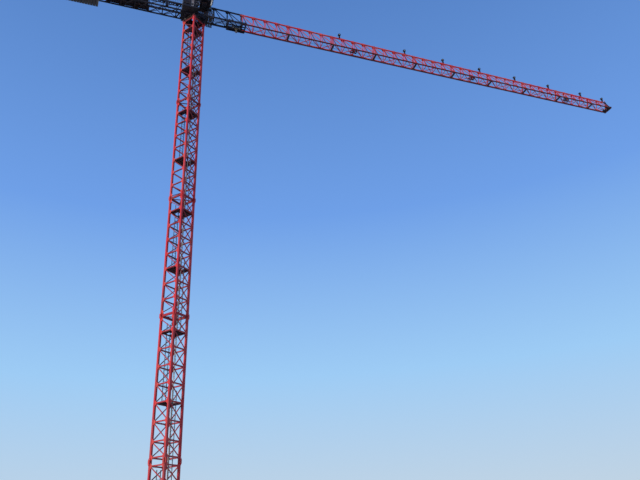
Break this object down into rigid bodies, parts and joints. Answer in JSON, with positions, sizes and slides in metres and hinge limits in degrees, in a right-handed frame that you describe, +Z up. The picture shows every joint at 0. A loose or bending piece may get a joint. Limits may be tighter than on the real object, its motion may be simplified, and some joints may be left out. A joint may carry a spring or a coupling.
{
  "type": "tower crane, half-scale model",
  "caption": "Flat-top tower crane on a square lattice mast, with a slewing head and cab, a tapering lattice jib, a travelling trolley, a hook and a ballasted counter-jib.",
  "frame": {"origin": "middle of the underside of the base frame, on the mast's axis", "axes": "+Z up along the mast, +X along the jib from the mast to its end, +Y to the left of the jib seen from the mast"},
  "size_m": [36.8403, 1.7624, 31.274],
  "materials": {
    "red_paint": "satin",
    "navy_paint": "satin",
    "pale_paint": "satin",
    "yellow_paint": "satin",
    "galvanised": "satin",
    "bare_steel": "satin",
    "forged_steel": "satin",
    "rope": "satin",
    "concrete": "matte",
    "glass": "gloss"
  },
  "bodies": {
    "mast": {"base_frame": "red_paint", "mast_1_sides": "red_paint", "mast_2_sides": "red_paint", "mast_3_sides": "red_paint", "mast_4_sides": "red_paint", "mast_5_sides": "red_paint", "mast_1_bracing": "red_paint", "mast_2_bracing": "red_paint", "mast_3_bracing": "red_paint", "mast_4_bracing": "red_paint", "mast_5_bracing": "red_paint", "mast_platforms": "galvanised", "mast_ladders": "galvanised", "ring_support": "red_paint", "slewing_gear": "bare_steel"},
    "upperworks": {"slewing_race": "bare_steel", "turntable": "navy_paint", "head_frame": "navy_paint", "head_walkways": "navy_paint", "cab_shell": "pale_paint", "cab_glass": "glass", "slewing_drives": "navy_paint", "jib_root": "navy_paint", "jib_section_1": "red_paint", "jib_section_2": "red_paint", "jib_section_3": "red_paint", "jib_section_4": "red_paint", "jib_section_5": "red_paint", "jib_section_6": "red_paint", "jib_section_7": "red_paint", "jib_section_8": "red_paint", "jib_section_9": "red_paint", "jib_end": "red_paint", "jib_lamps": "navy_paint", "rope_rollers": "navy_paint", "counter_jib": "navy_paint", "counter_jib_floor": "navy_paint", "counter_jib_rails": "galvanised", "hoist_winch": "navy_paint", "switch_cabinet": "navy_paint", "counterweights": "concrete"},
    "trolley": {"trolley_frame": "navy_paint", "trolley_wheels": "bare_steel", "trolley_sheaves": "bare_steel", "rope_falls": "rope"},
    "hook": {"hook_block": "yellow_paint", "hook": "forged_steel"}
  },
  "joints": [
    {"name": "slew", "type": "hinge", "parent": "mast", "child": "upperworks", "pos_m": [0, 0, 29.37], "axis": [0, 0, 1], "continuous": true},
    {"name": "trolley_travel", "type": "slide", "parent": "upperworks", "child": "trolley", "axis": [1, 0, 0], "range_m": [-0.8, 26.6]},
    {"name": "hook_hoist", "type": "slide", "parent": "trolley", "child": "hook", "axis": [0, 0, -1], "range_m": [0, 29], "deforming": ["rope_falls"]}
  ]
}
